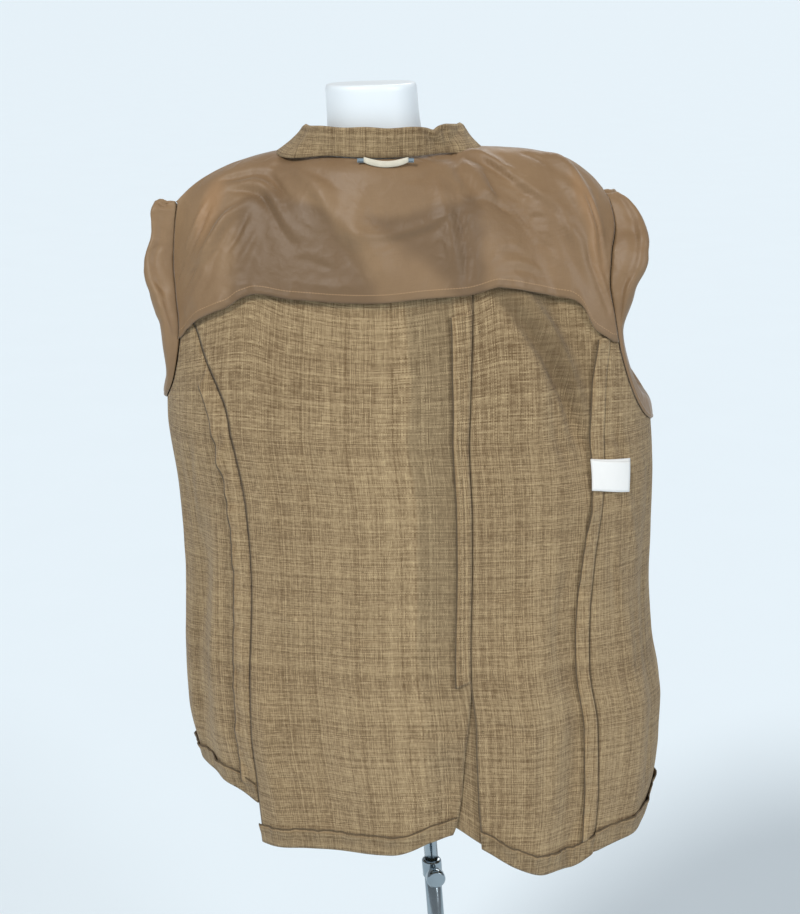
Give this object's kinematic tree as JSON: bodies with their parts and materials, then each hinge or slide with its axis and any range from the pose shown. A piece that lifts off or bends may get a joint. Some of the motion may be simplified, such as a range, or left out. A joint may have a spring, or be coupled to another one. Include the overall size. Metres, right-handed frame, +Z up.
{
  "type": "linen blazer on dress form",
  "caption": "Large linen blazer turned inside out, seen from behind, with a satin back lining and rolled sleeve heads, on a white limbless dress form with a chrome stand.",
  "frame": {"origin": "centre of the underside of the stand's round foot, on the floor", "axes": "+Z up; the back of the garment, which the picture shows, faces -Y; +X to the right of the picture; the form leans slightly towards -X"},
  "size_m": [0.644, 0.356, 1.5314],
  "materials": {
    "linen": "coarse slubbed linen, brown with pale threads",
    "lining": "brown satin lining",
    "satin": "cream satin ribbon",
    "label": "white woven label, bare",
    "horn": "dark brown polished button",
    "form": "white painted dress form",
    "chrome": "polished chrome"
  },
  "bodies": {
    "root": {"back_left": "linen", "back_right": "linen", "side_left": "linen", "side_right": "linen", "front_left": "linen", "front_right": "linen", "vent_underlap": "linen", "allowance_left": "linen", "allowance_right": "linen", "allowance_centre": "linen", "allowance_front_left": "linen", "allowance_front_right": "linen", "hem_back_left": "linen", "hem_back_right": "linen", "hem_side_left": "linen", "hem_side_right": "linen", "hem_front_left": "linen", "hem_front_right": "linen", "back_lining": "lining", "sleeve_head_left": "lining", "sleeve_head_right": "lining", "sleeve_left": "linen", "sleeve_right": "linen", "collar": "linen", "lapel_left": "linen", "lapel_right": "linen", "hanging_loop": "satin", "loop_link_left": "chrome", "loop_link_right": "chrome", "care_label": "label", "button_1": "horn", "button_2": "horn", "button_3": "horn", "dress_form": "form", "stand_base": "chrome", "stand_tube": "chrome", "stand_clamp": "chrome", "stand_rod": "chrome", "clamp_knob": "chrome"}
  },
  "joints": []
}
